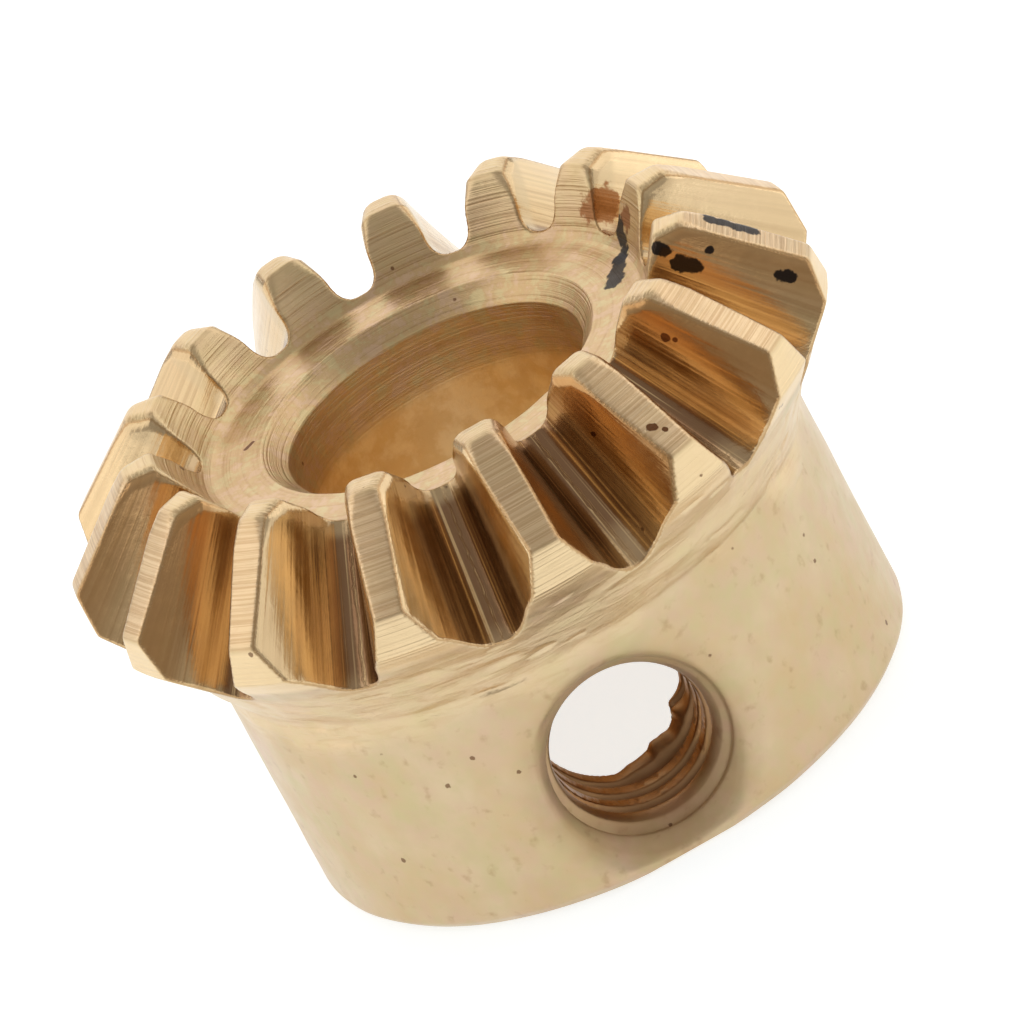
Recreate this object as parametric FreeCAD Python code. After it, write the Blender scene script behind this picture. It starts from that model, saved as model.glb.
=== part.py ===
import FreeCAD, Part
import math
import os

# Straight bevel gear with a plain hub, turned and cut from one blank.
# Frame: origin on the hub's bottom face at the bore centre, +Z along the bore
# towards the toothed end. The tapped hole opens towards -Y, below one of the
# teeth. All lengths are in millimetres.

os.makedirs("parts", exist_ok=True)

V = FreeCAD.Vector

# Hub and bore
HUB_RADIUS = 10.0
HUB_HEIGHT = 8.1           # straight part of the hub, below the head
HUB_EDGE_CHAMFER = 0.38
BORE_RADIUS = 5.0
BORE_CHAMFER_TOP = 0.65
BORE_CHAMFER_BOTTOM = 0.4

# Head: neck cone, back cone, rim, face cone, flat nose, toe cone and front ring
NECK_RADIUS = 11.05        # where the neck cone meets the back cone
NECK_Z = 9.8
RIM_RADIUS = 12.6          # the short cylinder round the outer ends of the teeth
RIM_BOTTOM_Z = 11.6
RIM_TOP_Z = 12.95          # outer end of the tooth tops, before rounding
TOE_TIP_RADIUS = 9.55      # inner end of the tooth tops, before rounding
TOTAL_HEIGHT = 15.7
NOSE_INNER_RADIUS = 8.57
RING_RADIUS = 7.45         # foot of the toe cone on the front ring
RING_Z = 13.7
RIM_ROUNDING = 0.3
TOE_TIP_ROUNDING = 0.5
NOSE_ROUNDING = 0.2

# Teeth. The half widths of a tooth space are listed against the depth below
# the tooth top, first at the toe (inner end), then at the heel (outer end).
TOOTH_COUNT = 15
FIRST_TOOTH_ANGLE = 1.5    # degrees from the tapped hole, towards +X
TOE_FLANK = [
    (-1.2, 2.04), (0.0, 1.43), (0.35, 1.26), (0.85, 1.04), (1.25, 0.90), (1.6, 0.81), (1.9, 0.75)
]
TOE_DEPTH = 2.63
TOE_FLOOR_HALF_WIDTH = 0.08
HEEL_FLANK = [
    (-1.2, 3.27), (0.0, 2.25), (0.4, 1.93), (0.9, 1.55), (1.3, 1.30), (1.7, 1.08), (2.05, 0.93)
]
HEEL_DEPTH = 2.92
HEEL_FLOOR_HALF_WIDTH = 0.10
OVERRUN_TOE = 2.0          # the cutter runs this far past each end of the tooth
OVERRUN_HEEL = 3.2

# Tapped hole for a set screw: M6 x 1, from the hub's side into the bore
SCREW_Z = 3.72
THREAD_MINOR_RADIUS = 2.5
THREAD_MAJOR_RADIUS = 2.95
THREAD_PITCH = 1.0
THREAD_CREST = 0.56        # flat left between two grooves; the crests are blunt
THREAD_ROOT = 0.10         # flat at the bottom of the groove
COUNTERSINK_RADIUS = 3.5


def rounded_outline(corners):
    """Closed wire in the XZ plane; each corner is (radius, z, rounding)."""
    edges = []
    starts = []
    ends = []
    count = len(corners)
    for index, (radius, z, rounding) in enumerate(corners):
        corner = V(radius, 0, z)
        before = V(corners[index - 1][0], 0, corners[index - 1][1]) - corner
        after_corner = corners[(index + 1) % count]
        after = V(after_corner[0], 0, after_corner[1]) - corner
        before.normalize()
        after.normalize()
        if rounding == 0:
            starts.append(corner)
            ends.append(corner)
            continue
        half_angle = before.getAngle(after) / 2
        setback = rounding / math.tan(half_angle)
        first = corner + before * setback
        last = corner + after * setback
        bisector = (before + after).normalize()
        middle = corner + bisector * (rounding / math.sin(half_angle) - rounding)
        edges.append(Part.Arc(first, middle, last).toShape())
        starts.append(first)
        ends.append(last)
    for index in range(count):
        edges.append(Part.makeLine(ends[index], starts[(index + 1) % count]))
    return Part.Wire(Part.__sortEdges__(edges))


def turned_blank():
    """The solid of revolution that is left after turning and boring."""
    outline = [
        (BORE_RADIUS, BORE_CHAMFER_BOTTOM, 0),
        (BORE_RADIUS + BORE_CHAMFER_BOTTOM, 0.0, 0),
        (HUB_RADIUS - HUB_EDGE_CHAMFER, 0.0, 0),
        (HUB_RADIUS, HUB_EDGE_CHAMFER, 0),
        (HUB_RADIUS, HUB_HEIGHT, 0),
        (NECK_RADIUS, NECK_Z, 0),
        (RIM_RADIUS, RIM_BOTTOM_Z, 0),
        (RIM_RADIUS, RIM_TOP_Z, RIM_ROUNDING),
        (TOE_TIP_RADIUS, TOTAL_HEIGHT, TOE_TIP_ROUNDING),
        (NOSE_INNER_RADIUS, TOTAL_HEIGHT, NOSE_ROUNDING),
        (RING_RADIUS, RING_Z, 0),
        (BORE_RADIUS + BORE_CHAMFER_TOP, RING_Z, 0),
        (BORE_RADIUS, RING_Z - BORE_CHAMFER_TOP, 0),
    ]
    face = Part.Face(rounded_outline(outline))
    return face.revolve(V(0, 0, 0), V(0, 0, 1), 360)


def space_wire(flank, depth, floor_half_width, to_space):
    """Closed outline of a tooth space; to_space maps (width, depth) to 3-D."""
    right = [to_space(width, d) for d, width in flank]
    left = [to_space(-width, d) for d, width in flank]
    floor_right = to_space(floor_half_width, depth)
    floor_left = to_space(-floor_half_width, depth)

    # The corner of each fillet is where the flank would meet the floor.
    (d0, w0), (d1, w1) = flank[-2], flank[-1]
    corner_width = w1 + (w1 - w0) / (d1 - d0) * (depth - d1)
    corner_right = to_space(corner_width, depth)
    corner_left = to_space(-corner_width, depth)

    def flank_edge(points):
        curve = Part.BSplineCurve()
        curve.interpolate(points)
        return curve.toShape()

    def fillet_edge(start, corner, end):
        curve = Part.BezierCurve()
        curve.setPoles([start, corner, end])
        return curve.toShape()

    edges = [
        flank_edge(right),
        fillet_edge(right[-1], corner_right, floor_right),
        Part.makeLine(floor_right, floor_left),
        fillet_edge(floor_left, corner_left, left[-1]),
        flank_edge(left[::-1]),
        Part.makeLine(left[0], right[0]),
    ]
    return Part.Wire(edges)


def space_cutter():
    """Straight tapered cutter for the tooth space centred on the -Y direction."""
    run = RIM_RADIUS - TOE_TIP_RADIUS
    drop = TOTAL_HEIGHT - RIM_TOP_Z
    face_length = math.hypot(run, drop)
    along = (run / face_length, -drop / face_length)      # toe to heel, as (radius, z)
    inward = (-drop / face_length, -run / face_length)    # below the tooth top

    def blend(toe_value, heel_value, distance):
        return toe_value + (heel_value - toe_value) * distance / face_length

    wires = []
    for distance in (-OVERRUN_TOE, face_length + OVERRUN_HEEL):
        flank = []
        for (toe_d, toe_w), (heel_d, heel_w) in zip(TOE_FLANK, HEEL_FLANK):
            flank.append((blend(toe_d, heel_d, distance), blend(toe_w, heel_w, distance)))
        depth = blend(TOE_DEPTH, HEEL_DEPTH, distance)
        floor_half_width = blend(TOE_FLOOR_HALF_WIDTH, HEEL_FLOOR_HALF_WIDTH, distance)

        def to_space(width, d, distance=distance):
            radius = TOE_TIP_RADIUS + distance * along[0] + d * inward[0]
            z = TOTAL_HEIGHT + distance * along[1] + d * inward[1]
            return V(width, -radius, z)

        wires.append(space_wire(flank, depth, floor_half_width, to_space))
    return Part.makeLoft(wires, True, True)


def cut_teeth(blank):
    """Cut one space between each pair of neighbouring teeth."""
    first = space_cutter()
    pitch_angle = 360.0 / TOOTH_COUNT
    spaces = []
    for index in range(TOOTH_COUNT):
        space = first.copy()
        space.rotate(V(0, 0, 0), V(0, 0, 1), FIRST_TOOTH_ANGLE + (index + 0.5) * pitch_angle)
        spaces.append(space)
    return blank.cut(Part.makeCompound(spaces))


def thread_tap():
    """Shape that a drill, a countersink and an M6 tap take out of the hub wall."""
    start = 3.6                # inside the bore
    length = 8.4               # reaches past the outside of the hub
    drill = Part.makeCylinder(THREAD_MINOR_RADIUS, length, V(0, 0, start), V(0, 0, 1))

    helix_height = length - 1.0
    helix = Part.makeHelix(THREAD_PITCH, helix_height, THREAD_MINOR_RADIUS)
    inner = THREAD_MINOR_RADIUS - 0.1
    outer = THREAD_MAJOR_RADIUS
    slope = (THREAD_PITCH - THREAD_CREST - THREAD_ROOT) / 2 / (outer - THREAD_MINOR_RADIUS)
    half_outer = THREAD_ROOT / 2
    half_inner = half_outer + slope * (outer - inner)
    groove_points = [
        V(inner, 0, -half_inner),
        V(outer, 0, -half_outer),
        V(outer, 0, half_outer),
        V(inner, 0, half_inner),
    ]
    groove_wire = Part.makePolygon(groove_points + groove_points[:1])
    groove = Part.Wire(helix).makePipeShell([groove_wire], True, True)
    groove.translate(V(0, 0, start + 0.5))

    mouth = Part.makeCone(
        COUNTERSINK_RADIUS - 2.0, COUNTERSINK_RADIUS + 1.0, 3.0, V(0, 0, HUB_RADIUS - 2.0)
    )
    tools = [drill, groove, mouth]
    for tool in tools:
        # Turn the tool's axis from +Z to -Y, then lift it to the screw's height.
        tool.rotate(V(0, 0, 0), V(1, 0, 0), 90)
        tool.translate(V(0, 0, SCREW_Z))
    return tools


def bevel_gear():
    gear = cut_teeth(turned_blank())
    for tool in thread_tap():
        gear = gear.cut(tool)
    solids = gear.Solids
    if len(solids) != 1 or not gear.isValid():
        raise RuntimeError("the gear must be one valid solid")
    return solids[0]


gear = bevel_gear()
gear.exportStep("parts/bevel_gear.step")
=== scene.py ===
import math

import bpy
import numpy as np
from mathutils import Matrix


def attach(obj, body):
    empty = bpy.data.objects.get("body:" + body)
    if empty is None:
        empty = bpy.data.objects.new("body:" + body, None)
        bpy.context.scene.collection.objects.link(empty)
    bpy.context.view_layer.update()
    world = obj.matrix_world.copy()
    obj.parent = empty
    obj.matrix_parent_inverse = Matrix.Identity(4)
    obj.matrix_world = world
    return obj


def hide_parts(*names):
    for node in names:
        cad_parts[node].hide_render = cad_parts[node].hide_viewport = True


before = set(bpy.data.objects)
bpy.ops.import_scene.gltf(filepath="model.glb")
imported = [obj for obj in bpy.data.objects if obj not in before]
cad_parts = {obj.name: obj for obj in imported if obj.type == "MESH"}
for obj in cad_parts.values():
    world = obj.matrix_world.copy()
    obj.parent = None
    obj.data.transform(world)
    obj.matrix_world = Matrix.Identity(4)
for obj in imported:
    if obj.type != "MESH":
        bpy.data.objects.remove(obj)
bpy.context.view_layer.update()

import openvdb
from mathutils import Matrix, Vector

# Straight bevel gear, one piece of yellow-passivated steel.
# Axes as in the CAD part: origin on the hub's bottom face, +Z along the bore,
# the tapped hole opening towards -Y. All lengths are in millimetres unless a
# comment says otherwise. The gear's surface comes from a field of signed distances,
# which is negative inside the metal.

MM = 0.001

# ----------------------------------------------------------------- dimensions
# Hub and bore
HUB_RADIUS = 10.0
HUB_HEIGHT = 8.1           # straight part of the hub, below the head
HUB_EDGE_CHAMFER = 0.38
BORE_RADIUS = 5.0
BORE_CHAMFER_TOP = 0.65
BORE_CHAMFER_BOTTOM = 0.4

# Head: neck cone, back cone, rim, face cone, flat nose, toe cone and front ring
NECK_RADIUS = 11.05        # where the neck cone meets the back cone
NECK_Z = 9.8
RIM_RADIUS = 12.6          # the short cylinder round the outer ends of the teeth
RIM_BOTTOM_Z = 11.6
RIM_TOP_Z = 12.95          # outer end of the tooth tops, before rounding
TOE_TIP_RADIUS = 9.55      # inner end of the tooth tops, before rounding
TOTAL_HEIGHT = 15.7
NOSE_INNER_RADIUS = 8.57
RING_RADIUS = 7.45         # foot of the toe cone on the front ring
RING_Z = 13.7

# Teeth. A tooth space is listed as (depth below the tooth top, half width), first
# at the toe (inner end), then at the heel (outer end).
TOOTH_COUNT = 15
PITCH_ANGLE = 2 * math.pi / TOOTH_COUNT
FIRST_TOOTH_ANGLE = math.radians(1.5)
TOE_FLANK = [
    (-1.2, 2.04), (0.0, 1.43), (0.35, 1.26), (0.85, 1.04), (1.25, 0.90), (1.6, 0.81), (1.9, 0.75)
]
TOE_DEPTH = 2.63
TOE_FLOOR_HALF_WIDTH = 0.08
HEEL_FLANK = [
    (-1.2, 3.27), (0.0, 2.25), (0.4, 1.93), (0.9, 1.55), (1.3, 1.30), (1.7, 1.08), (2.05, 0.93)
]
HEEL_DEPTH = 2.92
HEEL_FLOOR_HALF_WIDTH = 0.10
OVERRUN_TOE = 2.0          # the cutter runs this far past each end of the tooth
OVERRUN_HEEL = 3.2
FACE_RUN = RIM_RADIUS - TOE_TIP_RADIUS
FACE_DROP = TOTAL_HEIGHT - RIM_TOP_Z
FACE_LENGTH = math.hypot(FACE_RUN, FACE_DROP)

# Tapped hole for a set screw. Places along it are distances from the gear's axis.
SCREW_Z = 3.72
THREAD_MINOR_RADIUS = 2.5
THREAD_MAJOR_RADIUS = 2.95
THREAD_PITCH = 1.0
THREAD_CREST = 0.56        # flat left between two grooves; the crests are blunt
THREAD_ROOT = 0.10         # flat at the bottom of the groove
THREAD_SOFTNESS = 0.04     # how far the edges of a groove are blurred
THREAD_START = 4.1         # where the helix starts
THREAD_FADE = (8.3, 9.3)   # the grooves get shallow over this stretch
THREAD_FADE_AMOUNT = 0.75
THREAD_STEEPNESS = 0.8     # keeps the field's slope near 1 on the thread's flanks
HOLE_START = 3.6           # inside the bore
COUNTERSINK_RADIUS = 3.5
MOUTH_ROUNDING = 0.7       # between the thread and the countersink
MOUTH_FLARES = [           # stretch over which the hole widens, and by how much
    ((7.9, 9.6), 0.34),
    ((9.0, 9.9), 0.30),
]
BURR_DIRECTION = (0.42, -0.91)     # as (x, z) from the hole's centre
BURR_SPAN = (0.70, 0.93)           # cosines of the angle from that direction
BURR_STRETCH = (6.0, 5.2)          # the burr rises over this stretch, near the bore
BURR_HEIGHT = 0.35
BURR_UNEVENNESS = 0.12

# Wear and roughness of the metal
TOOTH_EDGE_ROUNDING = 0.12
TOE_EXTRA_ROUNDING = 0.38  # the inner tips of the teeth are more worn
WORN_LENGTH = (-0.10, 0.25)        # part of the tooth's length, from the toe
WORN_DEPTH = (0.7, 1.8)            # below the tooth top
HOLE_EDGE_ROUNDING = 0.12
MOUTH_EDGE_EXTRA_ROUNDING = 0.144
MOUTH_EDGE_STRETCH = (7.5, 9.3)    # the extra rounding comes in over this stretch
NECK_BAND_START = (7.2, 8.2)       # heights between which the torn neck begins
NECK_BAND_END = (10.2, 11.0)
NECK_BAND_RADII = (9.0, 9.5)
NECK_EDGE_WIDE_WANDER = 0.5
NECK_EDGE_FINE_WANDER = 0.3
NECK_FOLD_HEIGHT = 0.05
NECK_FOLD_WAVE = 0.3
NECK_PIT_DEPTH = 0.12
NECK_PIT_LEVEL = 0.35              # only noise above this makes a pit
RIPPLE_HEIGHT = 0.012
DISH_DEPTH = 0.07                  # the hub is worn down a little round the hole
DISH_RADII = (4.1, 3.4)
HUB_FRONT_Y = -6.0                 # the dish is only on this side of the hub

# Layers of noise round the axis: seed, cells round the axis, height of a cell
NECK_EDGE_WIDE = (3, 23, 1.0)
NECK_EDGE_FINE = (4, 61, 1.0)
NECK_FOLDS = (11, 36, 0.45)
NECK_FOLD_WAVES = (12, 30, 2.0)
NECK_PITS = (13, 60, 0.34)
RIPPLES = (14, 50, 1.3)
BURR_EDGE = (15, 40, 1.0)
NOISE_ROWS = 64                    # rows of cells before a layer repeats
NOISE_FIRST_ROW = 8                # the row at height 0

# Sampling of the field, and the mesh made from it
VOXEL = 0.085                      # grid spacing
COARSE = 4                         # the field is first sampled on every fourth point
FIELD_LOW = (-13.2, -13.2, -0.5)
FIELD_HIGH = (13.2, 13.2, 16.3)
FIELD_LIMIT = 3 * VOXEL            # distances beyond this are cut off
BATCH = 1000000                    # points worked out at a time
NORMAL_STEP = 0.045
ZONE_SOFTNESS = 0.06               # half width of the change between two zones
TRIANGLES = 190000


# ------------------------------------------------------------ shape functions
def polygon_distance(corners, x, y):
    """Signed distance to a closed polygon, negative inside."""
    nearest = np.full(x.shape, np.inf)
    inside = np.zeros(x.shape, bool)
    for (x0, y0), (x1, y1) in zip(corners, np.roll(corners, -1, axis=0)):
        dx = x1 - x0
        dy = y1 - y0
        along = np.clip(((x - x0) * dx + (y - y0) * dy) / (dx * dx + dy * dy), 0, 1)
        nearest = np.minimum(nearest, (x - x0 - along * dx) ** 2 + (y - y0 - along * dy) ** 2)
        if dy != 0:
            inside ^= ((y0 > y) != (y1 > y)) & (x < x0 + (y - y0) * dx / dy)
    return np.where(inside, -1.0, 1.0) * np.sqrt(nearest)


class DistanceTable:
    """A polygon's signed distance on a fine grid, read back by bilinear interpolation."""

    STEP = 0.025

    def __init__(self, corners, low, high):
        self.low = low
        u = np.arange(low[0], high[0], self.STEP)
        v = np.arange(low[1], high[1], self.STEP)
        self.limit = (len(u) - 1.001, len(v) - 1.001)
        self.values = polygon_distance(np.array(corners), *np.meshgrid(u, v, indexing="ij"))

    def __call__(self, x, y):
        u = np.clip((x - self.low[0]) / self.STEP, 0, self.limit[0])
        v = np.clip((y - self.low[1]) / self.STEP, 0, self.limit[1])
        i = u.astype(np.int32)
        j = v.astype(np.int32)
        u -= i
        v -= j
        first = self.values[i, j] * (1 - v) + self.values[i, j + 1] * v
        second = self.values[i + 1, j] * (1 - v) + self.values[i + 1, j + 1] * v
        return first * (1 - u) + second * u


def rounded(corners, steps=9):
    """Corner points (u, v, rounding) with every rounded corner turned into a curve."""
    points = []
    for index, (u, v, rounding) in enumerate(corners):
        corner = np.array((u, v))
        if rounding == 0:
            points.append(corner)
            continue
        before = np.array(corners[index - 1][:2]) - corner
        after = np.array(corners[(index + 1) % len(corners)][:2]) - corner
        before /= np.linalg.norm(before)
        after /= np.linalg.norm(after)
        half_angle = math.acos(np.clip(before @ after, -1, 1)) / 2
        setback = rounding / math.tan(half_angle)
        for t in np.linspace(0, 1, steps):
            points.append(corner + before * setback * (1 - t) ** 2 + after * setback * t ** 2)
    return points


def space_outline(flank, depth, floor_half_width, flank_steps=40, fillet_steps=10):
    """Outline of a tooth space as (half width, depth), with a fillet to its floor."""
    depths = np.array([d for d, _ in flank])
    widths = np.array([w for _, w in flank])
    curve = np.polynomial.Polynomial.fit(depths, widths, 4)
    side = [(curve(d), d) for d in np.linspace(depths[0], depths[-1], flank_steps)]
    start = np.array(side[-1])
    slope = (side[-1][0] - side[-2][0]) / (side[-1][1] - side[-2][1])
    corner = np.array((start[0] + slope * (depth - start[1]), depth))
    end = np.array((floor_half_width, depth))
    for t in np.linspace(1 / fillet_steps, 1, fillet_steps):
        side.append(tuple((1 - t) ** 2 * start + 2 * t * (1 - t) * corner + t * t * end))
    return side + [(-u, v) for u, v in side[::-1]]


# The turned blank's outline, as (radius, z, rounding) from the bottom of the bore outwards
BLANK = DistanceTable(
    rounded([
        (BORE_RADIUS, BORE_CHAMFER_BOTTOM, 0.05),
        (BORE_RADIUS + BORE_CHAMFER_BOTTOM, 0.0, 0.08),
        (HUB_RADIUS - HUB_EDGE_CHAMFER, 0.0, 0.25),
        (HUB_RADIUS, HUB_EDGE_CHAMFER, 0.35),
        (HUB_RADIUS, HUB_HEIGHT, 0.3),
        (NECK_RADIUS, NECK_Z, 0.4),
        (RIM_RADIUS, RIM_BOTTOM_Z, 0.15),
        (RIM_RADIUS, RIM_TOP_Z, 0.35),
        (TOE_TIP_RADIUS, TOTAL_HEIGHT, 0.55),
        (NOSE_INNER_RADIUS, TOTAL_HEIGHT, 0.25),
        (RING_RADIUS, RING_Z, 0.7),
        (BORE_RADIUS + BORE_CHAMFER_TOP, RING_Z, 0.12),
        (BORE_RADIUS, RING_Z - BORE_CHAMFER_TOP, 0.12),
    ]),
    low=(3.5, -1.5), high=(14.5, 17.5),
)
TOE_SPACE = DistanceTable(
    space_outline(TOE_FLANK, TOE_DEPTH, TOE_FLOOR_HALF_WIDTH), low=(0, -2.5), high=(4.0, 5.0)
)
HEEL_SPACE = DistanceTable(
    space_outline(HEEL_FLANK, HEEL_DEPTH, HEEL_FLOOR_HALF_WIDTH), low=(0, -2.5), high=(4.0, 5.0)
)

# Small differences between the tooth spaces
random_state = np.random.RandomState(7)
SPACE_DEPTH_ERROR = random_state.uniform(-0.03, 0.03, TOOTH_COUNT)
TOOTH_SHADE = random_state.uniform(0, 1, TOOTH_COUNT)
# How much painted light each tooth space gets, from the one right of the tapped hole: high values
# make the back flanks pale as if lit, low values leave the front flanks in painted shade.
SPACE_PAINTED_LIGHT = np.array([
    0.2, 0.15, 0.35, 0.9, 0.8, 0.7, 0.7, 0.6, 0.65, 0.6, 0.7, 0.35, 0.25, 0.8, 0.75
])


def smooth_max(a, b, width):
    """Maximum of two distances, with the edge between them rounded."""
    overlap = np.clip(width - np.abs(a - b), 0, None)
    return np.maximum(a, b) + overlap * overlap / (4 * width)


def smooth_step(value, low, high):
    """0 on the low side, 1 on the high side, and a smooth change between them."""
    t = np.clip((value - low) / (high - low), 0, 1)
    return t * t * (3 - 2 * t)


def ring_noise(layer, angle, height):
    """Smooth noise, -1 to 1, on a band round the axis; it repeats without a seam."""
    seed, cells_round, cell_height = layer
    lattice = np.random.RandomState(seed).uniform(-1, 1, (cells_round, NOISE_ROWS))
    u = (angle / (2 * math.pi) + 0.5) * cells_round
    v = height / cell_height + NOISE_FIRST_ROW
    i = np.floor(u).astype(np.int32)
    j = np.floor(v).astype(np.int32)
    u = smooth_step(u - i, 0, 1)
    v = smooth_step(v - j, 0, 1)
    i0 = i % cells_round
    i1 = (i + 1) % cells_round
    j0 = j % NOISE_ROWS
    j1 = (j + 1) % NOISE_ROWS
    low = lattice[i0, j0] * (1 - u) + lattice[i1, j0] * u
    high = lattice[i0, j1] * (1 - u) + lattice[i1, j1] * u
    return low * (1 - v) + high * v


# ------------------------------------------------------------------ the field
def tooth_coordinates(points):
    """Width from the middle of the tooth space (with its sign), depth below the tooth
    top, distance from the toe, and number of the tooth space, at each point."""
    x, y, z = points.T
    radius = np.hypot(x, y)
    turn = (np.arctan2(x, -y) - FIRST_TOOTH_ANGLE) / PITCH_ANGLE
    number = np.floor(turn).astype(np.int32)
    local = (turn - number - 0.5) * PITCH_ANGLE
    run = radius * np.cos(local) - TOE_TIP_RADIUS
    rise = z - TOTAL_HEIGHT
    distance = (run * FACE_RUN - rise * FACE_DROP) / FACE_LENGTH
    depth = (-run * FACE_DROP - rise * FACE_RUN) / FACE_LENGTH
    return radius * np.sin(local), depth, distance, number % TOOTH_COUNT


def neck_mask(points):
    """1 on the torn band below the teeth, 0 elsewhere; its edges are uneven."""
    x, y, z = points.T
    angle = np.arctan2(x, -y)
    wide = NECK_EDGE_WIDE_WANDER * ring_noise(NECK_EDGE_WIDE, angle, z * 0)
    fine = NECK_EDGE_FINE_WANDER * ring_noise(NECK_EDGE_FINE, angle, z * 0)
    level = z - (wide + fine)
    inside = smooth_step(level, *NECK_BAND_START) * (1 - smooth_step(level, *NECK_BAND_END))
    return inside * smooth_step(np.hypot(x, y), *NECK_BAND_RADII)


def worn_blank(points):
    """Distance to the turned blank with its torn neck and the dish round the hole."""
    x, y, z = points.T
    radius = np.hypot(x, y)
    angle = np.arctan2(x, -y)
    wavy = z + NECK_FOLD_WAVE * ring_noise(NECK_FOLD_WAVES, angle, z)
    folds = ring_noise(NECK_FOLDS, angle, wavy)
    pits = np.clip(ring_noise(NECK_PITS, angle, wavy) - NECK_PIT_LEVEL, 0, 1)
    torn = neck_mask(points) * (NECK_FOLD_HEIGHT * folds + NECK_PIT_DEPTH * pits)
    ripples = RIPPLE_HEIGHT * ring_noise(RIPPLES, angle, z + radius)
    from_screw = np.hypot(x, z - SCREW_Z)
    dish = DISH_DEPTH * smooth_step(from_screw, *DISH_RADII) * (y < HUB_FRONT_Y)
    return BLANK(radius, z) + torn + ripples + dish


def tooth_space(points):
    """Distance to the nearest tooth space, and how widely its edges are rounded."""
    width, depth, distance, number = tooth_coordinates(points)
    t = np.clip(distance, -OVERRUN_TOE, FACE_LENGTH + OVERRUN_HEEL) / FACE_LENGTH
    width = np.abs(width)
    depth = depth + SPACE_DEPTH_ERROR[number]
    space = (1 - t) * TOE_SPACE(width, depth) + t * HEEL_SPACE(width, depth)
    # Here the mask is only real wear: the toe ends of the teeth are rounded more.
    wear_and_painted_shade = (1 - smooth_step(t, *WORN_LENGTH)) * (1 - smooth_step(depth, *WORN_DEPTH))
    return space, TOOTH_EDGE_ROUNDING + TOE_EXTRA_ROUNDING * wear_and_painted_shade


def tapped_hole(points):
    """Distance to the space inside the tapped hole, with its worn mouth and a burr."""
    x, y, z = points.T
    out = -y
    up = z - SCREW_Z
    from_screw = np.hypot(x, up)
    angle = np.arctan2(up, x)
    phase = (out - THREAD_START) / THREAD_PITCH - angle / (2 * math.pi)
    from_groove = np.abs(phase - np.round(phase)) * THREAD_PITCH
    groove_bottom = THREAD_ROOT / 2 - THREAD_SOFTNESS
    groove_edge = (THREAD_PITCH - THREAD_CREST) / 2 + THREAD_SOFTNESS
    groove = 1 - smooth_step(from_groove, groove_bottom, groove_edge)
    groove = groove * (1 - THREAD_FADE_AMOUNT * smooth_step(out, *THREAD_FADE))
    wall = THREAD_MINOR_RADIUS + (THREAD_MAJOR_RADIUS - THREAD_MINOR_RADIUS) * groove
    for stretch, widening in MOUTH_FLARES:
        wall = wall + widening * smooth_step(out, *stretch)

    along_burr = x * BURR_DIRECTION[0] + up * BURR_DIRECTION[1]
    burr = smooth_step(along_burr / np.maximum(from_screw, 0.1), *BURR_SPAN)
    burr = burr * smooth_step(out, *BURR_STRETCH)
    wall = wall - burr * (BURR_HEIGHT + BURR_UNEVENNESS * ring_noise(BURR_EDGE, angle, z * 0))

    thread = (from_screw - wall) * THREAD_STEEPNESS
    countersink = (from_screw - COUNTERSINK_RADIUS + (HUB_RADIUS - out)) / math.sqrt(2)
    return np.maximum(-smooth_max(-thread, -countersink, MOUTH_ROUNDING), HOLE_START - out)


def gear_field(points):
    """About the signed distance to the whole gear; it is 0 on the surface."""
    space, tooth_edge = tooth_space(points)
    toothed = smooth_max(worn_blank(points), -space, tooth_edge)
    at_mouth = smooth_step(-points[:, 1], *MOUTH_EDGE_STRETCH)
    hole_edge = HOLE_EDGE_ROUNDING + MOUTH_EDGE_EXTRA_ROUNDING * at_mouth
    return smooth_max(toothed, -tapped_hole(points), hole_edge)


def field_normals(points, step=0.02):
    """The field's gradient, and the same with its length made 1."""
    gradient = np.empty_like(points)
    for axis in range(3):
        offset = np.zeros(3)
        offset[axis] = step
        gradient[:, axis] = gear_field(points + offset) - gear_field(points - offset)
    length = np.linalg.norm(gradient, axis=1, keepdims=True)
    return gradient / (2 * step), gradient / np.maximum(length, 1e-9)


def onto_surface(points):
    """Move points along the field's gradient onto the surface, by a small step at most."""
    gradient, _ = field_normals(points)
    smallest_square = 0.2
    longest_step = 0.05
    square = np.maximum((gradient ** 2).sum(axis=1), smallest_square)
    step = np.clip(gear_field(points) / square, -longest_step, longest_step)
    return points - gradient * step[:, None]


# ------------------------------------------------------------- visual surface
def sample_field():
    """The field on a dense grid; only points near the surface are worked out."""
    low = np.array(FIELD_LOW)
    high = np.array(FIELD_HIGH)
    shape = np.ceil((high - low) / (VOXEL * COARSE)).astype(int)
    axes = [low[k] + (np.arange(shape[k]) * COARSE + (COARSE - 1) / 2) * VOXEL for k in range(3)]
    coarse_points = np.stack(np.meshgrid(*axes, indexing="ij"), axis=-1).reshape(-1, 3)
    coarse = gear_field(coarse_points).reshape(shape)
    reach = VOXEL * COARSE * 1.15      # blocks further off hold no surface
    near = np.abs(coarse) < reach
    values = coarse.astype(np.float32)
    for axis in range(3):
        values = values.repeat(COARSE, axis=axis)
        near = near.repeat(COARSE, axis=axis)
    cells = np.argwhere(near)
    fine = np.empty(len(cells), np.float32)
    for start in range(0, len(cells), BATCH):
        batch = cells[start:start + BATCH]
        fine[start:start + BATCH] = gear_field(low + batch * VOXEL)
    values[near] = fine
    return low, np.clip(values, -FIELD_LIMIT, FIELD_LIMIT)


def new_mesh(name, points, polygons):
    """Mesh in metres from points in millimetres; all polygons have equally many corners."""
    mesh = bpy.data.meshes.new(name)
    count = len(polygons)
    corners = polygons.shape[1]
    mesh.vertices.add(len(points))
    mesh.vertices.foreach_set("co", (points * MM).astype(np.float32).ravel())
    mesh.loops.add(count * corners)
    mesh.loops.foreach_set("vertex_index", polygons.astype(np.int32).ravel())
    mesh.polygons.add(count)
    mesh.polygons.foreach_set("loop_start", np.arange(0, count * corners, corners, dtype=np.int32))
    mesh.update(calc_edges=True)
    mesh.validate()
    return mesh


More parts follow.
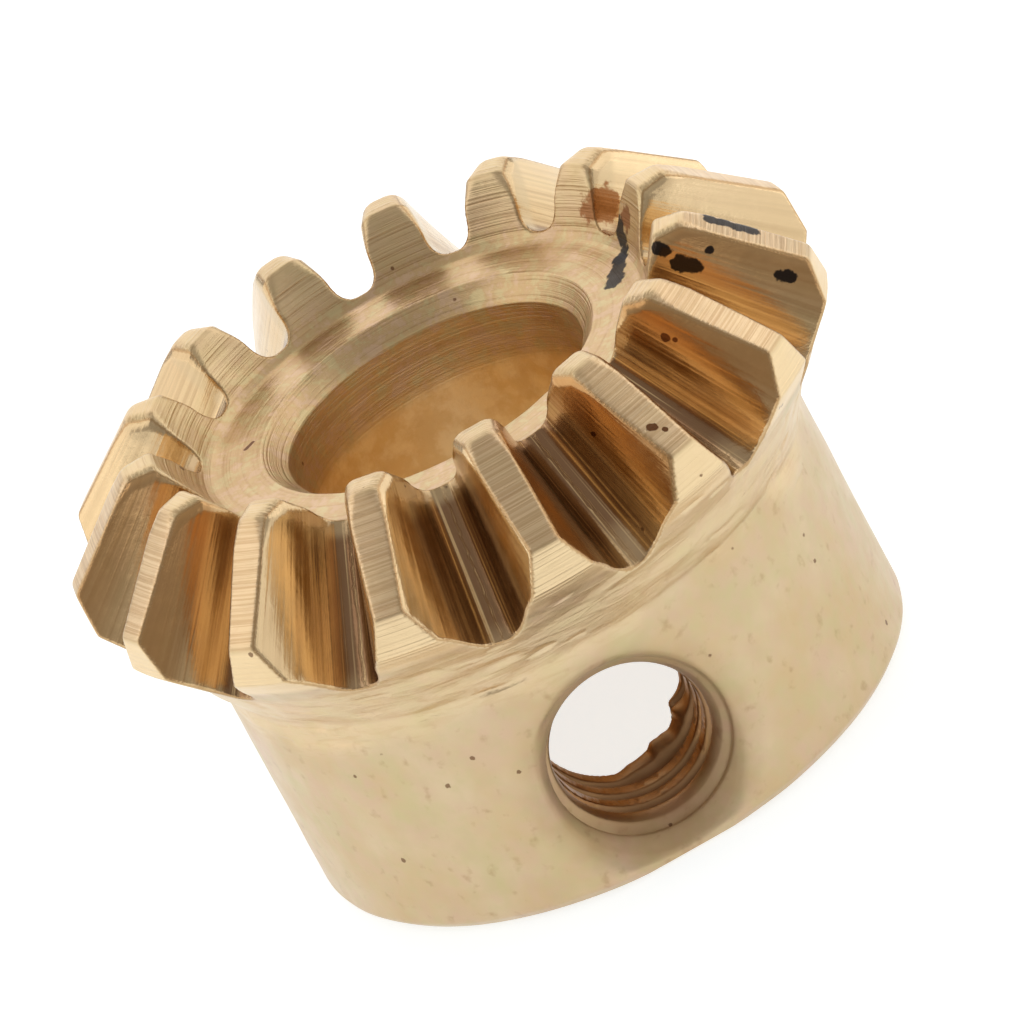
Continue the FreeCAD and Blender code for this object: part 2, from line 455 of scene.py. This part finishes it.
def simplified(mesh, triangles):
    """The mesh cut down to a number of triangles, as a new mesh."""
    helper = bpy.data.objects.new("simplify", mesh)
    bpy.context.collection.objects.link(helper)
    modifier = helper.modifiers.new("Decimate", "DECIMATE")
    modifier.ratio = triangles / (2 * len(mesh.polygons))
    modifier.use_collapse_triangulate = True
    graph = bpy.context.evaluated_depsgraph_get()
    result = bpy.data.meshes.new_from_object(helper.evaluated_get(graph))
    bpy.data.objects.remove(helper)
    return result


def mesh_points(mesh):
    """The mesh's points, in millimetres."""
    flat = np.empty(len(mesh.vertices) * 3, np.float32)
    mesh.vertices.foreach_get("co", flat)
    return flat.reshape(-1, 3).astype(float) / MM


def add_attribute(mesh, name, kind, values):
    attribute = mesh.attributes.new(name, kind, "POINT")
    key = "vector" if kind == "FLOAT_VECTOR" else "value"
    attribute.data.foreach_set(key, values.astype(np.float32).ravel())


def add_surface_attributes(mesh, points):
    """Record for the material where each point is: in which zone and on which tooth."""
    blank = worn_blank(points)
    space, _ = tooth_space(points)
    width, depth, distance, number = tooth_coordinates(points)
    t = np.clip(distance / FACE_LENGTH, -0.3, 1.5)
    floor_width = np.abs(width) / (TOE_FLANK[-1][1] * (1 - t) + HEEL_FLANK[-1][1] * t)
    level = depth / (TOE_DEPTH * (1 - t) + HEEL_DEPTH * t) * TOE_DEPTH
    # The level goes on rising towards the middle of the root, so streaks differ there.
    root_rise = 0.8
    level = level + root_rise * (1 - np.clip(floor_width, 0, 1))

    from_tapped = tapped_hole(points)
    cut = smooth_step(-space - blank, -ZONE_SOFTNESS, ZONE_SOFTNESS)
    tapped = smooth_step(-from_tapped - np.maximum(blank, -space), -ZONE_SOFTNESS, ZONE_SOFTNESS)
    tool = np.stack((np.sign(width), level, distance), axis=1)
    zone = np.stack((cut, tapped, neck_mask(points)), axis=1)
    add_attribute(mesh, "tool", "FLOAT_VECTOR", tool)
    add_attribute(mesh, "zone", "FLOAT_VECTOR", zone)
    add_attribute(mesh, "shade", "FLOAT", TOOTH_SHADE[number])
    # Painted light for the material: how lit the flanks of each tooth space are made to look.
    add_attribute(mesh, "painted_light_amount", "FLOAT", SPACE_PAINTED_LIGHT[number])


def gear_mesh():
    """The gear's surface as a mesh with smooth normals taken from the field."""
    low, values = sample_field()
    grid = openvdb.FloatGrid(FIELD_LIMIT)
    grid.copyFromArray(values)
    points, quads = grid.convertToQuads(0.0)
    points = low + points.astype(float) * VOXEL
    points = onto_surface(onto_surface(points))
    mesh = simplified(new_mesh("gear_dense", points, quads), TRIANGLES)
    points = onto_surface(mesh_points(mesh))
    mesh.vertices.foreach_set("co", (points * MM).astype(np.float32).ravel())
    mesh.polygons.foreach_set("use_smooth", np.ones(len(mesh.polygons), bool))
    _, normals = field_normals(points, NORMAL_STEP)
    mesh.normals_split_custom_set_from_vertices(normals.tolist())
    add_surface_attributes(mesh, points)
    mesh.name = "gear_surface"
    return mesh


# ------------------------------------------------------------------ materials
class Graph:
    """Short ways to add and connect shader nodes."""

    def __init__(self, tree):
        self.tree = tree
        tree.nodes.clear()

    def node(self, kind, settings=None, **inputs):
        """New node; an input is named by its label, or by i and its number."""
        node = self.tree.nodes.new(kind)
        for name, value in (settings or {}).items():
            setattr(node, name, value)
        for name, value in inputs.items():
            key = int(name[1:]) if name[0] == "i" and name[1:].isdigit() else name.replace("_", " ")
            self.put(node.inputs[key], value)
        return node

    def put(self, socket, value):
        if isinstance(value, bpy.types.NodeSocket):
            self.tree.links.new(value, socket)
        else:
            socket.default_value = value

    def length(self, x, y):
        squares = self.total(self.product(x, x), self.product(y, y))
        return self.math("SQRT", squares)

    def product(self, first, *others):
        for other in others:
            first = self.math("MULTIPLY", first, other)
        return first

    def total(self, first, *others):
        for other in others:
            first = self.math("ADD", first, other)
        return first

    def math(self, operation, a, b=0.0):
        return self.node("ShaderNodeMath", {"operation": operation}, i0=a, i1=b).outputs[0]

    def scale(self, vector, factors):
        node = self.node("ShaderNodeVectorMath", {"operation": "MULTIPLY"}, i0=vector, i1=factors)
        return node.outputs[0]

    def offset(self, vector, by):
        return self.node("ShaderNodeVectorMath", {"operation": "ADD"}, i0=vector, i1=by).outputs[0]

    def vector(self, x, y, z):
        return self.node("ShaderNodeCombineXYZ", i0=x, i1=y, i2=z).outputs[0]

    def split(self, vector):
        return self.node("ShaderNodeSeparateXYZ", i0=vector).outputs

    def attribute(self, name, output="Vector"):
        return self.node("ShaderNodeAttribute", {"attribute_name": name}).outputs[output]

    def noise(self, vector, scale=1.0, detail=2.0, roughness=0.5, distortion=0.0):
        node = self.node(
            "ShaderNodeTexNoise", Vector=vector, Scale=scale, Detail=detail,
            Roughness=roughness, Distortion=distortion,
        )
        return node.outputs["Fac"]

    def from_stroke(self, place, start, end):
        """Distance from the straight line between two points, or from a point."""
        line = Vector(end) - Vector(start)
        from_start = self.offset(place, -Vector(start))
        dot = self.node("ShaderNodeVectorMath", {"operation": "DOT_PRODUCT"}, i0=from_start, i1=line)
        along = self.product(dot.outputs["Value"], 1 / max(line.length_squared, 1e-6))
        along = self.math("MINIMUM", self.math("MAXIMUM", along, 0.0), 1.0)
        foot = self.scale(self.vector(along, along, along), line)
        away = self.node("ShaderNodeVectorMath", {"operation": "DISTANCE"}, i0=from_start, i1=foot)
        return away.outputs["Value"]

    def band(self, value, low, high, to_low=0.0, to_high=1.0):
        """Smooth change from to_low to to_high while the value goes from low to high."""
        node = self.node(
            "ShaderNodeMapRange", {"interpolation_type": "SMOOTHSTEP"},
            i0=value, i1=low, i2=high, i3=to_low, i4=to_high,
        )
        return node.outputs[0]

    def mix(self, factor, a, b, blend="MIX"):
        node = self.node("ShaderNodeMix", {"data_type": "RGBA", "blend_type": blend})
        self.put(node.inputs[0], factor)
        self.put(node.inputs[6], a)
        self.put(node.inputs[7], b)
        return node.outputs[2]


# Marks on the metal: a line from one point to another, and the mark's reach from it.
STAINS = [
    ((7.5, 3.6, 14.4), (7.5, 3.6, 14.4), 0.7),
    ((8.0, 1.4, 14.6), (8.0, 1.4, 14.6), 0.45),
]
INK_MARKS = [
    ((7.7, 2.1, 14.5), (7.05, 0.9, 13.8), 0.33),
    ((7.05, 0.9, 13.8), (6.45, -0.35, 13.7), 0.33),
    ((9.8, -2.6, 15.0), (10.8, -2.9, 14.1), 0.30),
    ((8.05, -3.2, 15.35), (8.2, -3.3, 15.2), 0.24),
    ((8.35, -3.5, 14.65), (8.75, -3.5, 14.35), 0.30),
    ((10.9, -4.0, 12.95), (11.15, -4.2, 12.8), 0.24),
    ((9.4, -3.55, 14.6), (9.4, -3.55, 14.6), 0.17),
]
RUST_SPOTS = [
    ((-5.8, 2.2, 13.7), (-5.5, 2.4, 13.7), 0.08),
    ((4.9, -10.7, 13.75), (5.0, -10.7, 13.7), 0.17),
    ((5.25, -10.8, 13.5), (5.25, -10.8, 13.5), 0.12),
    ((6.7, -7.0, 14.4), (6.75, -7.0, 14.35), 0.15),
    ((7.0, -7.1, 14.2), (7.0, -7.1, 14.2), 0.10),
    ((3.35, -9.3, 13.8), (3.35, -9.3, 13.8), 0.12),
    ((5.5, -11.25, 11.8), (5.5, -11.25, 11.8), 0.11),
]


# Colours of the metal
GOLD = (0.60, 0.44, 0.25, 1.0)
PINK = (0.62, 0.43, 0.30, 1.0)
GREEN = (0.56, 0.475, 0.255, 1.0)
PALE = (0.64, 0.495, 0.315, 1.0)
STREAK_DARK = (0.42, 0.24, 0.10, 1.0)
STREAK_LIGHT = (0.68, 0.465, 0.24, 1.0)
OLIVE = (0.58, 0.43, 0.19, 1.0)
BROWN = (0.30, 0.15, 0.06, 1.0)
PAINTED_SHADE_ROOT_BROWN = (0.19, 0.085, 0.038, 1.0)
STRAW = (0.86, 0.655, 0.39, 1.0)
PAINTED_SHADE_UMBER = (0.47, 0.225, 0.068, 1.0)
BORE_DARK = (0.88, 0.61, 0.28, 1.0)
BORE_LIGHT = (1.0, 0.76, 0.42, 1.0)
PAINTED_SHADE_THREAD_BROWN = (0.36, 0.18, 0.075, 1.0)
HEAD_GOLD = (0.66, 0.485, 0.26, 1.0)
LAND_GOLD = (0.85, 0.62, 0.39, 1.0)
STAIN = (0.30, 0.13, 0.05, 1.0)
RUST = (0.13, 0.05, 0.02, 1.0)
INK = (0.015, 0.012, 0.013, 1.0)

# Patches in the plating: shift that sets the layer apart from the others, size, noise
# where a patch begins and where it is full, how strongly it shows, colour
PLATING_PATCHES = [
    ((0.0, 0.0, 0.0), 2.5, 0.35, 0.70, 1.0, PALE),
    ((31.0, 0.0, 0.0), 1.8, 0.45, 0.75, 0.7, PINK),
    ((0.0, 47.0, 0.0), 1.7, 0.48, 0.78, 0.8, GREEN),
    ((61.0, 0.0, 0.0), 0.6, 0.42, 0.70, 0.35, PINK),
    ((0.0, 61.0, 0.0), 0.5, 0.42, 0.70, 0.35, GREEN),
    ((0.0, 0.0, 23.0), 0.5, 0.58, 0.80, 0.35, BROWN),
]

# Areas of the metal: where each begins and where it is full
IN_BORE_RADII = (BORE_RADIUS + 0.12, BORE_RADIUS + 0.02)
HEAD_HEIGHTS = (10.8, 11.6)
LAND_RADII = (9.4, 9.8)            # the lands are the tops of the teeth
LAND_HEIGHTS = (12.85, 13.1)
FRONT_RADII = (8.1, 7.5)
FLAT_RING_OUTER_RADII = (7.6, 7.2)
FLAT_RING_INNER_RADII = (5.5, 5.8)
HEEL_RADII = (11.7, 12.1)
HEEL_HEIGHTS = (12.95, 12.75)
# Painted shade deep in the tapped hole comes in over these distances from the axis.
DEEP_THREAD_RADII = (9.5, 7.9)
LIP_RADII = (4.3, 3.3)             # from the centre of the tapped hole
LIP_PLACES = (-8.2, -8.9)          # along Y


class Surface:
    """Where the shaded point is on the gear, and the tool marks there, as sockets.

    Lengths are in millimetres. A mask is 1 in its area and 0 elsewhere."""

    def __init__(self, g):
        metres = g.node("ShaderNodeTexCoord").outputs["Object"]
        self.place = g.scale(metres, (1 / MM, 1 / MM, 1 / MM))
        self.x, self.y, self.z = g.split(self.place)[:3]
        self.radius = g.length(self.x, self.y)
        self.side, self.level, self.distance = g.split(g.attribute("tool"))[:3]
        self.shade = g.attribute("shade", "Fac")
        self.painted_light_amount = g.attribute("painted_light_amount", "Fac")
        self.add_masks(g)
        self.add_tool_marks(g)

    def add_masks(self, g):
        self.cut, self.tapped, self.neck = g.split(g.attribute("zone"))[:3]
        self.not_cut = g.math("SUBTRACT", 1.0, self.cut)
        self.turned = g.product(self.not_cut, g.math("SUBTRACT", 1.0, self.tapped))
        self.in_bore = g.product(g.band(self.radius, *IN_BORE_RADII), self.turned)
        self.head = g.band(self.z, *HEAD_HEIGHTS)
        self.land = g.product(
            g.band(self.radius, *LAND_RADII), g.band(self.z, *LAND_HEIGHTS), self.turned
        )
        self.front = g.product(g.band(self.radius, *FRONT_RADII), self.head, self.turned)
        self.heel = g.product(
            g.band(self.radius, *HEEL_RADII), g.band(self.z, *HEEL_HEIGHTS), self.turned
        )

    def add_tool_marks(self, g):
        """The lathe's marks run round the axis; the gear cutter's run along the teeth."""
        wander = g.product(g.noise(self.place, 0.25), 1.2)
        self.lathe_place = g.vector(self.radius, self.z, wander)
        self.lathe_lines = g.noise(g.scale(self.lathe_place, (9.0, 9.0, 1.0)), 1.0, 3.0, 0.6)
        cutter_place = g.vector(
            g.total(g.product(self.side, 7.0), g.product(self.shade, 50.0)),
            g.product(self.level, 7.0),
            g.product(self.distance, 0.08),
        )
        self.cutter_lines = g.noise(cutter_place, 1.0, 2.5, 0.5)
        self.cutter_bands = g.noise(g.scale(cutter_place, (0.3, 0.3, 1.0)), 1.0, 2.0, 0.5)
        self.torn = g.noise(g.scale(self.place, (0.6, 0.6, 3.2)), 1.0, 3.0, 0.55, 1.0)


def plating_colour(g, at):
    """Patchy gold, pink and green of the yellow passivation."""
    colour = GOLD
    for shift, size, begin, full, amount, tint in PLATING_PATCHES:
        patches = g.noise(g.offset(at.place, shift), 1 / size, 3.0)
        colour = g.mix(g.band(patches, begin, full, 0.0, amount), colour, tint)
    return colour


def tooth_space_colour(g, at):
    """Streaks along the tooth spaces, with painted light near the tooth tops of the lit spaces,
    painted shade near the tops of the others and painted shade at the roots.
    """
    colour = g.mix(g.band(at.cutter_lines, 0.34, 0.58), STREAK_DARK, STREAK_LIGHT)
    colour = g.mix(g.band(at.cutter_bands, 0.50, 0.72, 0.0, 0.35), colour, OLIVE)
    # Painted light: straw near the tooth tops, as strong as the space's painted light amount.
    painted_light_near_top = g.band(at.level, 2.3, 0.4, 0.15, 0.9)
    colour = g.mix(g.product(painted_light_near_top, at.painted_light_amount), colour, STRAW)
    # Painted shade: umber near the tooth tops of the spaces that get little painted light.
    wear_and_painted_shade = g.product(g.band(at.level, 1.7, 0.5), g.band(at.painted_light_amount, 0.8, 0.2, 0.0, 0.85))
    colour = g.mix(wear_and_painted_shade, colour, PAINTED_SHADE_UMBER)
    # Painted shade: dark brown at the roots of the tooth spaces, broken up by the cutter streaks.
    root = g.product(g.band(at.level, 2.15, 2.75), g.band(at.cutter_lines, 0.66, 0.52), 0.93)
    colour = g.mix(root, colour, PAINTED_SHADE_ROOT_BROWN)
    near_toe = g.band(at.distance, 0.45, 0.05, 0.0, 0.7)
    return g.mix(g.product(near_toe, g.band(at.painted_light_amount, 0.4, 0.7)), colour, GOLD)


def head_colour(g, at, colour):
    """Adds the tints of the turned faces on the head, on top of the colour."""
    colour = g.mix(g.product(at.head, at.turned, 0.5), colour, HEAD_GOLD)
    # Darker brown along the lathe lines on the head.
    lathe_line_tint = g.product(g.band(at.lathe_lines, 0.5, 0.3), at.turned, 0.35, at.head)
    colour = g.mix(lathe_line_tint, colour, BROWN)
    furrows = g.product(g.band(at.torn, 0.52, 0.36), at.neck, 0.30)
    colour = g.mix(furrows, colour, STREAK_DARK)

    hatch = g.noise(g.scale(at.lathe_place, (15.0, 15.0, 1.0)), 1.0, 2.0, 0.5)
    colour = g.mix(g.product(at.land, 0.5), colour, LAND_GOLD)
    colour = g.mix(g.product(at.land, g.band(hatch, 0.60, 0.38, 0.0, 0.42)), colour, STREAK_DARK)

    colour = g.mix(g.product(at.front, 0.45), colour, STREAK_DARK)
    film = g.noise(g.offset(at.place, (0.0, 83.0, 0.0)), 1.4, 4.0, 0.7)
    colour = g.mix(g.product(at.front, g.band(film, 0.50, 0.62, 0.0, 0.55)), colour, PINK)
    colour = g.mix(g.product(at.front, g.band(film, 0.50, 0.38, 0.0, 0.60)), colour, GREEN)

    colour = g.mix(g.product(at.heel, 0.75), colour, STRAW)
    return g.mix(g.product(at.neck, 0.35), colour, STRAW)


def metal_colour(g, at):
    """Colour of the gear without its marks and specks, with painted shade deep in the tapped hole
    and along the edges of the tooth spaces.
    """
    colour = g.mix(g.product(at.cut, 0.88), plating_colour(g, at), tooth_space_colour(g, at))
    mottle = g.band(g.noise(at.place, 1.1, 4.0, 0.6), 0.40, 0.62)
    colour = g.mix(g.product(at.in_bore, 0.9), colour, g.mix(mottle, BORE_DARK, BORE_LIGHT))
    # Painted shade: brown deep inside the tapped hole.
    painted_shade_deep_thread = g.product(at.tapped, g.band(at.radius, *DEEP_THREAD_RADII), 0.85)
    colour = g.mix(painted_shade_deep_thread, colour, PAINTED_SHADE_THREAD_BROWN)
    colour = head_colour(g, at, colour)
    # Painted shade along the edges of the tooth spaces, dimming the highlight there.
    painted_shade_cut_edge = g.product(at.cut, at.not_cut, 2.8)
    return g.mix(painted_shade_cut_edge, colour, STREAK_DARK)


def marked_colour(g, at, colour):
    """The colour with small rust specks, the stains, ink marks and rust spots on it."""
    cells = g.node("ShaderNodeTexVoronoi", {"feature": "F1"}, Vector=at.place, Scale=0.9)
    cell_random = g.split(cells.outputs["Color"])[0]
    speck_size = g.band(cell_random, 0.55, 1.0, 0.0, 0.10)
    uneven = g.product(g.noise(at.place, 6.0, 3.0), 0.12)
    from_speck = g.math("SUBTRACT", g.total(cells.outputs["Distance"], uneven), speck_size)
    colour = g.mix(g.band(from_speck, 0.06, 0.03, 0.0, 0.75), colour, RUST)

    ragged = g.product(g.math("SUBTRACT", g.noise(at.place, 2.4, 3.0, 0.65), 0.5), 1.5)
    for strokes, tint in ((STAINS, STAIN), (INK_MARKS, INK), (RUST_SPOTS, RUST)):
        for start, end, reach in strokes:
            mark = g.math("DIVIDE", g.from_stroke(at.place, start, end), reach)
            colour = g.mix(g.band(g.total(mark, ragged), 1.0, 0.75, 0.0, 0.96), colour, tint)
    return colour


def relief(g, at):
    """Bumps from the tool marks, the torn neck and the grain of the plating."""
    flat_ring = g.product(
        g.band(at.radius, *FLAT_RING_OUTER_RADII), g.band(at.radius, *FLAT_RING_INNER_RADII)
    )
    head_depth = g.band(at.head, 0.0, 1.0, 0.2, 2.0)
    lathe_depth = g.math("SUBTRACT", head_depth, g.product(flat_ring, 1.3))
    height = g.total(
        g.product(at.lathe_lines, at.turned, lathe_depth),
        g.product(at.cutter_lines, at.cut, 0.5),
        g.product(at.torn, at.neck, 1.3),
        g.product(g.noise(at.place, 2.5, 4.0, 0.6), 0.4),
    )
    return g.node("ShaderNodeBump", Strength=0.6, Distance=0.00004, Height=height).outputs[0]


def roughness(g, at):
    """Shinier in the tooth spaces, duller in the bore, the thread and the hole's mouth."""
    from_screw = g.length(at.x, g.math("SUBTRACT", at.z, SCREW_Z))
    lip = g.product(g.band(from_screw, *LIP_RADII), g.band(at.y, *LIP_PLACES))
    return g.total(
        g.band(g.noise(at.place, 1.3, 4.0), 0.3, 0.7, 0.31, 0.39),
        g.product(at.in_bore, 0.10),
        g.product(at.cut, -0.13),
        g.product(at.tapped, 0.10),
        g.product(lip, 0.22),
    )


def plated_steel():
    """Zinc-plated steel with a yellow passivation, worn and marked."""
    material = bpy.data.materials.new("plated_steel")
    material.use_nodes = True
    g = Graph(material.node_tree)
    at = Surface(g)
    shader = g.node(
        "ShaderNodeBsdfPrincipled", Base_Color=marked_colour(g, at, metal_colour(g, at)),
        Metallic=1.0, Roughness=roughness(g, at), Normal=relief(g, at),
    )
    g.node("ShaderNodeOutputMaterial", Surface=shader.outputs[0])
    return material


def floor_material():
    """Pale board that glows a little, as the photo's white ground does."""
    material = bpy.data.materials.new("pale_floor")
    material.use_nodes = True
    g = Graph(material.node_tree)
    patches = g.noise(g.node("ShaderNodeTexCoord").outputs["Object"], 30.0, 3.0)
    colour = g.mix(g.band(patches, 0.3, 0.7), (0.54, 0.54, 0.535, 1.0), (0.58, 0.58, 0.575, 1.0))
    shader = g.node(
        "ShaderNodeBsdfPrincipled", Base_Color=colour, Roughness=0.8,
        Emission_Color=(0.80, 0.84, 0.86, 1.0), Emission_Strength=0.82,
    )
    g.node("ShaderNodeOutputMaterial", Surface=shader.outputs[0])
    return material


# ---------------------------------------------------------------------- scene
# Soft boxes: name, direction from the gear, distance and size in metres, power in watts
SOFT_BOXES = [
    ("soft_left", (-1.0, 0.25, 0.60), 0.50, 0.60, 1.00),
    ("soft_right", (1.0, 0.2, 0.50), 0.50, 0.50, 0.75),
    ("soft_front_right", (0.80, -0.60, 0.20), 0.60, 0.45, 0.35),
    ("soft_back", (0.1, 1.0, 0.50), 0.50, 0.60, 1.15),
]


def add_light(name, direction, distance, size, power):
    """Square soft box that faces the gear from a direction (x, y, z)."""
    light = bpy.data.lights.new(name, "AREA")
    light.shape = "SQUARE"
    light.size = size
    light.energy = power
    lamp = bpy.data.objects.new(name, light)
    towards = Vector(direction).normalized()
    lamp.location = towards * distance
    lamp.rotation_euler = towards.to_track_quat("Z", "Y").to_euler()
    bpy.context.collection.objects.link(lamp)


def add_world():
    """Warm white surroundings, a little brighter towards the zenith."""
    world = bpy.data.worlds.new("studio")
    world.use_nodes = True
    bpy.context.scene.world = world
    g = Graph(world.node_tree)
    upward = g.split(g.node("ShaderNodeTexCoord").outputs["Generated"])[2]
    strength = g.band(upward, 0.3, 0.95, 0.42, 0.53)
    background = g.node("ShaderNodeBackground", Color=(1.0, 0.97, 0.92, 1.0), Strength=strength)
    g.node("ShaderNodeOutputWorld", Surface=background.outputs[0])


def add_camera():
    """Long lens from the tapped hole's side, rolled so that the gear leans left."""
    elevation = math.radians(25.38)
    turn = math.radians(2.25)
    roll = math.radians(28.22)
    distance = 0.5024          # metres
    aim_height = 8.45
    aim_right = 0.43
    backward = Vector((
        -math.cos(elevation) * math.sin(turn),
        -math.cos(elevation) * math.cos(turn),
        math.sin(elevation),
    ))
    level_right = Vector((math.cos(turn), -math.sin(turn), 0))
    level_up = backward.cross(level_right)
    right = level_right * math.cos(roll) - level_up * math.sin(roll)
    up = level_right * math.sin(roll) + level_up * math.cos(roll)
    aim = (Vector((0, 0, aim_height)) + level_right * aim_right) * MM
    camera = bpy.data.cameras.new("camera")
    camera.lens = 572.8
    camera.sensor_width = 36
    camera.clip_start = 0.01
    camera.clip_end = 10
    holder = bpy.data.objects.new("camera", camera)
    matrix = Matrix((right, up, backward)).transposed().to_4x4()
    matrix.translation = aim + backward * distance
    holder.matrix_world = matrix
    bpy.context.collection.objects.link(holder)
    bpy.context.scene.camera = holder


gear = bpy.data.objects.new("bevel_gear_surface", gear_mesh())
bpy.context.collection.objects.link(gear)
gear.data.materials.append(plated_steel())
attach(gear, "root")
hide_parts("bevel_gear")

floor_size = 6.0 / MM      # six metres
corners = np.array([(-1, -1, 0), (1, -1, 0), (1, 1, 0), (-1, 1, 0)]) * floor_size / 2
floor = bpy.data.objects.new("floor", new_mesh("floor", corners, np.array([[0, 1, 2, 3]])))
floor.data.materials.append(floor_material())
bpy.context.collection.objects.link(floor)

add_world()
for soft_box in SOFT_BOXES:
    add_light(*soft_box)
add_camera()
bpy.context.scene.view_settings.view_transform = "Standard"
